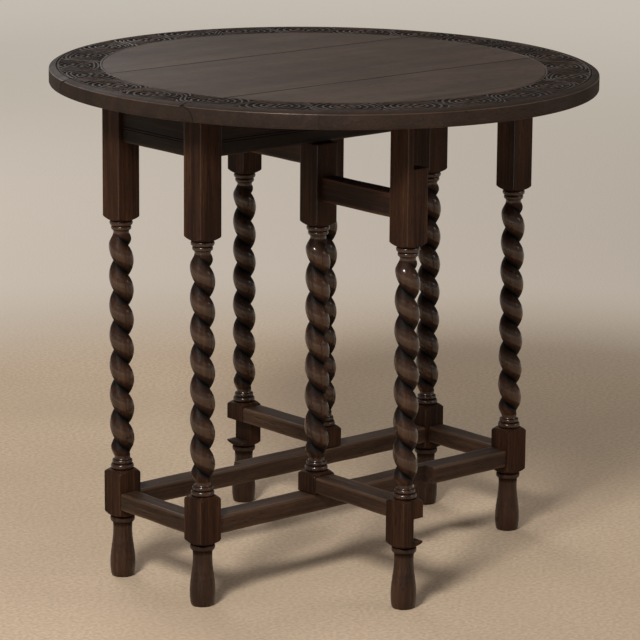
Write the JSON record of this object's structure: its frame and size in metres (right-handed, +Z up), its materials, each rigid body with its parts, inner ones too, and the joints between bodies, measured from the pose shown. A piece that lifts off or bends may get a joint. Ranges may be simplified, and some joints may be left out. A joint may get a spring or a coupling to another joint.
{
  "type": "gateleg table",
  "caption": "Oval drop-leaf table on a barley-twist frame; gates swing out from the long sides on pivots to hold up the hinged leaves.",
  "frame": {"origin": "on the floor, under the middle of the oval top", "axes": "+Z up; +X along the frame and the leaf joints, to the right; -Y towards the front, where the front gate stands open"},
  "size_m": [0.786, 0.82, 0.737],
  "materials": {
    "oak_top": "dark brown fumed oak boards with a worn satin wax polish",
    "oak_frame": "dark red-brown stained oak, turned and planed, satin wax polish",
    "oak_plain": "plain unpolished oak of the hidden blocks",
    "iron": "dark oiled iron, slightly rough"
  },
  "bodies": {
    "root": {"top_panel": "oak_top", "leg_front_left": "oak_frame", "leg_front_right": "oak_frame", "leg_back_left": "oak_frame", "leg_back_right": "oak_frame", "apron_front": "oak_frame", "apron_back": "oak_frame", "apron_left": "oak_frame", "apron_right": "oak_frame", "stretcher_front": "oak_frame", "stretcher_back": "oak_frame", "stretcher_left": "oak_frame", "stretcher_right": "oak_frame", "glue_blocks": "oak_plain", "panel_screws": "iron", "hinge_front_left_fixed": "iron", "hinge_front_left_pin": "iron", "hinge_front_right_fixed": "iron", "hinge_front_right_pin": "iron", "hinge_back_left_fixed": "iron", "hinge_back_left_pin": "iron", "hinge_back_right_fixed": "iron", "hinge_back_right_pin": "iron", "hinge_screws_panel": "iron"},
    "leaf_front": {"leaf_front_inner": "oak_top", "leaf_front_outer": "oak_top", "hinge_front_left_leaf": "iron", "hinge_front_right_leaf": "iron", "hinge_screws_leaf_front": "iron", "gate_stop_front": "oak_plain", "gate_stop_front_screws": "iron"},
    "leaf_back": {"leaf_back_inner": "oak_top", "leaf_back_outer": "oak_top", "hinge_back_left_leaf": "iron", "hinge_back_right_leaf": "iron", "hinge_screws_leaf_back": "iron", "gate_stop_back": "oak_plain", "gate_stop_back_screws": "iron"},
    "gate_front": {"gate_front_post": "oak_frame", "gate_front_leg": "oak_frame", "gate_front_rail": "oak_frame", "gate_front_stretcher": "oak_frame", "gate_front_pin_top": "iron", "gate_front_pin_bottom": "iron"},
    "gate_back": {"gate_back_post": "oak_frame", "gate_back_leg": "oak_frame", "gate_back_rail": "oak_frame", "gate_back_stretcher": "oak_frame", "gate_back_pin_top": "iron", "gate_back_pin_bottom": "iron"}
  },
  "joints": [
    {"name": "gate_front_swing", "type": "hinge", "parent": "root", "child": "gate_front", "pos_m": [-0.088, -0.093, 0.13], "axis": [0, 0, 1], "range_deg": [0, 90]},
    {"name": "gate_back_swing", "type": "hinge", "parent": "root", "child": "gate_back", "pos_m": [0.088, 0.093, 0.13], "axis": [0, 0, 1], "range_deg": [0, 90]},
    {"name": "leaf_front_lift", "type": "hinge", "parent": "root", "child": "leaf_front", "pos_m": [0, -0.132, 0.715], "axis": [-1, 0, 0], "range_deg": [0, 1.5]},
    {"name": "leaf_back_lift", "type": "hinge", "parent": "root", "child": "leaf_back", "pos_m": [0, 0.132, 0.715], "axis": [1, 0, 0], "range_deg": [0, 1.5]}
  ]
}
